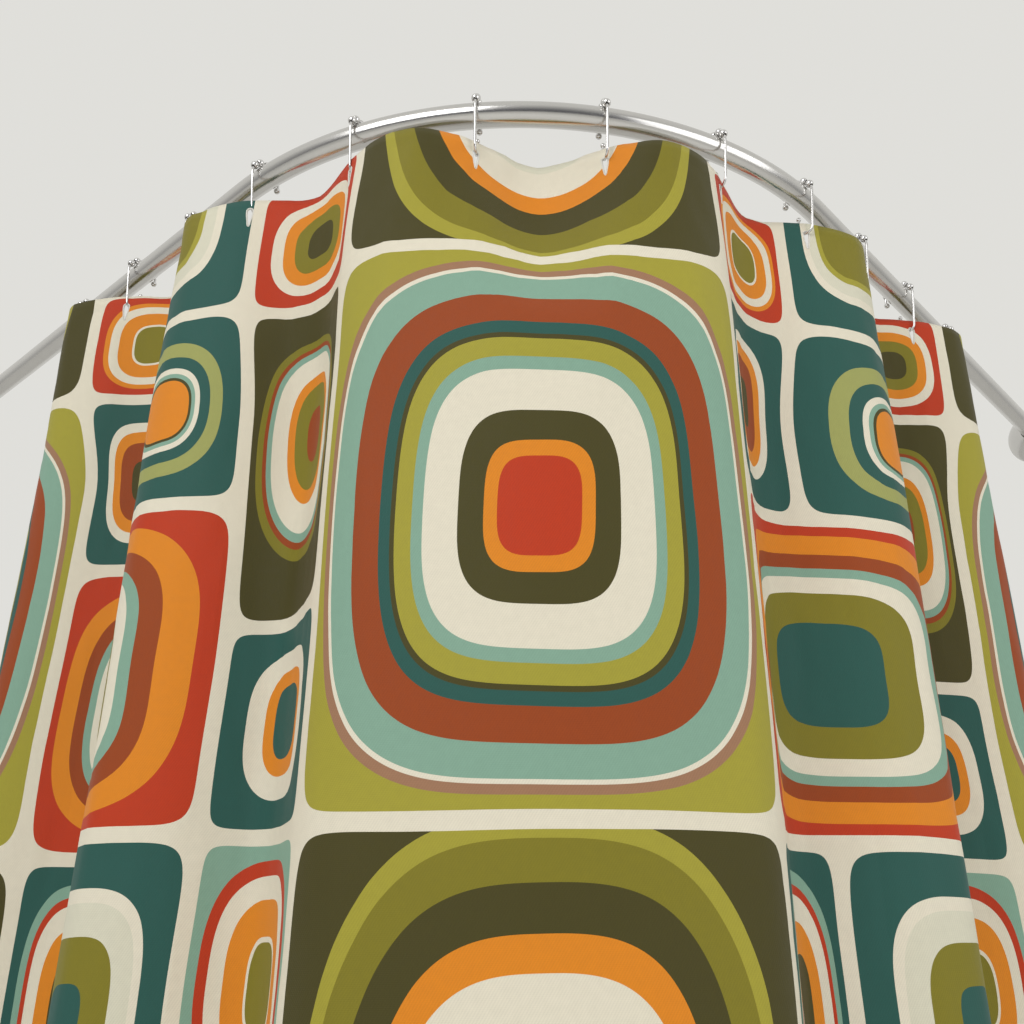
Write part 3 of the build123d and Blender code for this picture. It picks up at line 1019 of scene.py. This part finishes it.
def simulateHang():
    halfWidth = curtain["flatWidth"] / 2
    across = np.linspace(-halfWidth, halfWidth, int(curtain["flatWidth"] / letDown["column"]) + 1)
    down = np.linspace(0, curtain["flatLength"], int(curtain["flatLength"] / letDown["row"]) + 1)
    start = hungPlan(across, down, 0)
    rows, columns = start.shape[:2]
    faces = [
        (n, n + columns, n + columns + 1, n + 1)
        for i in range(rows - 1)
        for n in range(i * columns, i * columns + columns - 1)
    ]
    mesh = bpy.data.meshes.new("clothPlan")
    mesh.from_pydata(start.reshape(-1, 3).tolist(), [], faces)
    plan = bpy.data.objects.new("clothPlan", mesh)
    bpy.context.collection.objects.link(plan)
    held = plan.vertex_groups.new(name="held")
    held.add(list(range(rows * columns)), letDown["steady"], "REPLACE")
    nearHooks = [
        i * columns + j
        for i in range(rows)
        for j in range(columns)
        if down[i] < letDown["heldDown"]
        and min(abs(across[j] - c) for c in holeCentres) < letDown["heldBeside"]
    ]
    held.add(nearHooks, 1.0, "REPLACE")
    fabric = plan.modifiers.new("fabric", "CLOTH")
    fabric.settings.quality = letDown["quality"]
    fabric.settings.mass = letDown["mass"]
    fabric.settings.tension_stiffness = letDown["stretch"]
    fabric.settings.compression_stiffness = letDown["stretch"]
    fabric.settings.shear_stiffness = letDown["shear"]
    fabric.settings.bending_stiffness = letDown["bend"]
    fabric.settings.vertex_group_mass = "held"
    fabric.settings.pin_stiffness = 1.0
    fabric.collision_settings.use_collision = False
    fabric.point_cache.frame_end = letDown["frames"]
    scene = bpy.context.scene
    for number in range(1, letDown["frames"] + 1):
        scene.frame_set(number)
    pick(plan)
    bpy.ops.object.modifier_apply(modifier=fabric.name)
    ends = np.zeros(rows * columns * 3)
    plan.data.vertices.foreach_get("co", ends)
    scene.frame_set(1)
    bpy.data.objects.remove(plan)
    moved = ends.reshape(rows, columns, 3) - start
    reach = np.linalg.norm(moved, axis=2, keepdims=True)
    low, sideways = moved[:, :, 2].min() * 1000, np.abs(moved[:, :, :2]).max() * 1000
    print(f"cloth let down {-low:.1f} mm, sideways {sideways:.1f} mm, mean {reach.mean() * 1000:.1f} mm")
    farthest = letDown["farthest"]
    moved *= farthest * np.tanh(reach / farthest) / np.maximum(reach, 1e-9)

    def driftAt(a, d):
        # the coarse panel's movement at the places of a finer grid
        x = np.clip(np.interp(a, across, np.arange(columns)), 0, columns - 1.001)
        y = np.clip(np.interp(d, down, np.arange(rows)), 0, rows - 1.001)
        j, i = x.astype(int), y.astype(int)
        fx, fy = (x - j)[None, :, None], (y - i)[:, None, None]
        upper = moved[i][:, j] * (1 - fx) + moved[i][:, j + 1] * fx
        lower = moved[i + 1][:, j] * (1 - fx) + moved[i + 1][:, j + 1] * fx
        return upper * (1 - fy) + lower * fy

    return driftAt


drift = simulateHang()
print("cloth simulated")

# ---- sewing: a close satin stitch round every buttonhole and a running stitch along the hems
stitch = {
    "radial": 0.0009,
    "deep": 0.00105,
    "clear": 0.0001,
    "probe": 0.002,
    "stations": 150,
    "sides": 8,
    "perStitch": 3,
    "ridge": 0.16,
    "length": 0.0040,
    "samples": 6,
    "thread": 0.00022,
    "threadSides": 5,
    "front": -0.0005,
    "behind": -0.0014,
    "fromEnd": 0.004,
    "fromEdge": 0.002,
}


def tubeAlong(name, centres, sideways, across, closed, sides):
    # a tube through the centres; sideways and across are its half sizes as vectors at each centre
    count = len(centres)
    turns = np.linspace(0, 2 * np.pi, sides, endpoint=False)
    ringPoints = (
        centres[:, None, :]
        + sideways[:, None, :] * np.cos(turns)[None, :, None]
        + across[:, None, :] * np.sin(turns)[None, :, None]
    )
    last = count if closed else count - 1
    faces = []
    for i in range(last):
        here, following = i * sides, (i + 1) % count * sides
        for k in range(sides):
            beyond = (k + 1) % sides
            faces.append((here + k, here + beyond, following + beyond, following + k))
    if not closed:
        faces += [tuple(range(sides))[::-1], tuple((count - 1) * sides + k for k in range(sides))]
    mesh = bpy.data.meshes.new(name)
    mesh.from_pydata(ringPoints.reshape(-1, 3).tolist(), [], faces)
    obj = bpy.data.objects.new(name, mesh)
    bpy.context.collection.objects.link(obj)
    pick(obj)
    bpy.ops.object.mode_set(mode="EDIT")
    bpy.ops.mesh.select_all(action="SELECT")
    bpy.ops.mesh.normals_make_consistent(inside=False)
    bpy.ops.object.mode_set(mode="OBJECT")
    bpy.ops.object.shade_smooth()
    return obj


def makeButtonhole(centreAcross):
    # stations run round the slot's outline: down one side, round the foot, up and over
    halfWidth = hole["halfWidth"] + stitch["clear"]
    straight = hole["halfLength"] - hole["halfWidth"]
    around = 4 * straight + 2 * math.pi * halfWidth
    pair = np.array([centreAcross, centreAcross + stitch["probe"]])
    spot, beside = layout(pair, np.array([hole["centre"]]), -hem["behind"] / 2)[0]
    run = (beside - spot) / np.linalg.norm(beside - spot)
    up = np.array([0, 0, 1.0])
    through = np.cross(run, up)
    centres, radial = [], []
    for n in range(stitch["stations"]):
        way = around * n / stitch["stations"]
        side = 1 if way < around / 2 else -1
        way = way % (around / 2)
        if way < 2 * straight:
            x, z, outX, outZ = halfWidth, straight - way, 1.0, 0.0
        else:
            turn = (way - 2 * straight) / halfWidth
            outX, outZ = math.cos(turn), -math.sin(turn)
            x, z = halfWidth * outX, -straight + halfWidth * outZ
        centres.append(spot + (run * x * slitWidth(-z * side) + up * z) * side)
        radial.append((run * outX + up * outZ) * side)
    ridge = 1 + stitch["ridge"] * np.cos(2 * np.pi * np.arange(stitch["stations"]) / stitch["perStitch"])
    centres, radial = np.array(centres), np.array(radial) * (stitch["radial"] * ridge)[:, None]
    deep = np.repeat(through[None] * stitch["deep"], len(centres), 0) * ridge[:, None]
    return tubeAlong("buttonhole", centres, radial, deep, True, stitch["sides"])


def makeRunningStitch(start, end, down):
    # a thread that shows on the back of the hem and is caught blind behind the front
    samples = np.linspace(start, end, int((end - start) / stitch["length"] * stitch["samples"]))
    dip = (1 - np.cos(2 * np.pi * samples / stitch["length"])) / 2
    depth = stitch["front"] + (stitch["behind"] - stitch["front"]) * dip**3
    flatPlaces = layout(samples, np.array([down]), 0.0)[0]
    forward = layout(samples, np.array([down]), 0.001)[0] - flatPlaces
    forward /= np.linalg.norm(forward, axis=1)[:, None]
    centres = flatPlaces + forward * depth[:, None]
    upwards = np.repeat([[0, 0, stitch["thread"]]], len(samples), 0)
    along = forward * stitch["thread"]
    return tubeAlong("runningStitch", centres, upwards, along, False, stitch["threadSides"])


halfWidth = curtain["flatWidth"] / 2
length = curtain["flatLength"]
panelHalves = (
    ("left", -halfWidth, seamAcross, -1, range(1, 9), 1),
    ("right", seamAcross, halfWidth, 1, range(9, 13), 12),
)
for side, start, end, sign, hooks, endHook in panelHalves:
    panel = makeSheet(f"curtain_{side}", start, end, 0, length, 0, curtain["thickness"], True)
    finishPiece(panel, printedCloth, "printed_cloth", "curtain_cloth")
    edge = (start, start + hem["side"]) if side == "left" else (end - hem["side"], end)
    lowHemTop = length - hem["bottom"]
    strips = []
    for name, node, places, withHoles in (
        ("topHem", "top_hem", (start, end, hem["inset"], hem["top"]), True),
        ("bottomHem", "bottom_hem", (start, end, lowHemTop, length - hem["inset"]), False),
        ("sideHem", f"side_hem_{side}", (*edge, hem["top"], lowHemTop), False),
    ):
        strip = makeSheet(f"{name}_{side}", *places, -hem["behind"], hem["thickness"], withHoles)
        finishPiece(strip, hemCloth, "hem_cloth", node)
        strips.append(strip)
    fromEnd = stitch["fromEnd"]
    topEnd = end - stitch["clear"] if side == "left" else end - fromEnd
    sewing = makeRunningStitch(start + fromEnd, topEnd, hem["top"] - stitch["fromEdge"])
    sewing.name = sewing.data.name = f"sewing_{side}"
    bottomRun = makeRunningStitch(start + fromEnd, end - fromEnd, lowHemTop + stitch["fromEdge"])
    joinInto(sewing, bottomRun, *[makeButtonhole(holeCentres[n - 1]) for n in hooks])
    finishPiece(sewing, thread, "stitching_thread", "buttonhole_stitching")
    for piece in (panel, *strips, sewing):
        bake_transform(piece)
print("cloth hung")

# ---- studio: a pale floor, soft daylight from above and behind, two large soft lights in front
studio = {
    "air": (0.745, 0.738, 0.705, 1),
    "dim": (0.12, 0.12, 0.13, 1),
    "brightWay": (0.0, 0.55, 0.83),
    "dimFrom": -0.55,
    "brightFrom": 0.3,
    "floorBelow": 0.04,
    "floorSize": 14,
    "floorTint": (0.78, 0.775, 0.76, 1),
    "floorRoughness": 0.8,
}
floorPlace = Vector((bendCentre.x, bendCentre.y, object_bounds()[0][2] - studio["floorBelow"]))
clearSelection()
bpy.ops.mesh.primitive_plane_add(size=studio["floorSize"], location=floorPlace)
floor = newest("floor")
floorMaterial, floorTree, floorShader = startMaterial("paleFloor")
floorShader.inputs["Base Color"].default_value = studio["floorTint"]
floorShader.inputs["Roughness"].default_value = studio["floorRoughness"]
floor.data.materials.append(floorMaterial)

world = bpy.data.worlds.new("softDaylight")
bpy.context.scene.world = world
world.use_nodes = True
sky = world.node_tree
direction = sky.nodes.new("ShaderNodeTexCoord")
facing = sky.nodes.new("ShaderNodeVectorMath")
facing.operation = "DOT_PRODUCT"
sky.links.new(direction.outputs["Generated"], facing.inputs[0])
facing.inputs[1].default_value = studio["brightWay"]
spread = sky.nodes.new("ShaderNodeMapRange")
spread.inputs["From Min"].default_value = studio["dimFrom"]
spread.inputs["From Max"].default_value = studio["brightFrom"]
sky.links.new(facing.outputs["Value"], spread.inputs["Value"])
air = mixColour(sky, spread.outputs[0], studio["dim"], studio["air"])
sky.links.new(air, sky.nodes["Background"].inputs["Color"])
bpy.context.scene.view_settings.view_transform = "Standard"

lamps = {
    "key": {"place": (-0.7, -2.9, 1.0), "aim": (0.8, -0.5, -0.6), "size": 1.8, "power": 46},
    "fill": {"place": (2.9, -2.3, 0.1), "aim": (0.8, -0.5, -0.6), "size": 2.0, "power": 22},
}
for name, lamp in lamps.items():
    bpy.ops.object.light_add(type="AREA", location=lamp["place"])
    light = bpy.context.object
    light.name = name
    light.data.size = lamp["size"]
    light.data.energy = lamp["power"]
    aim = Vector(lamp["aim"]) - Vector(lamp["place"])
    light.rotation_euler = aim.to_track_quat("-Z", "Y").to_euler()
print("studio set")
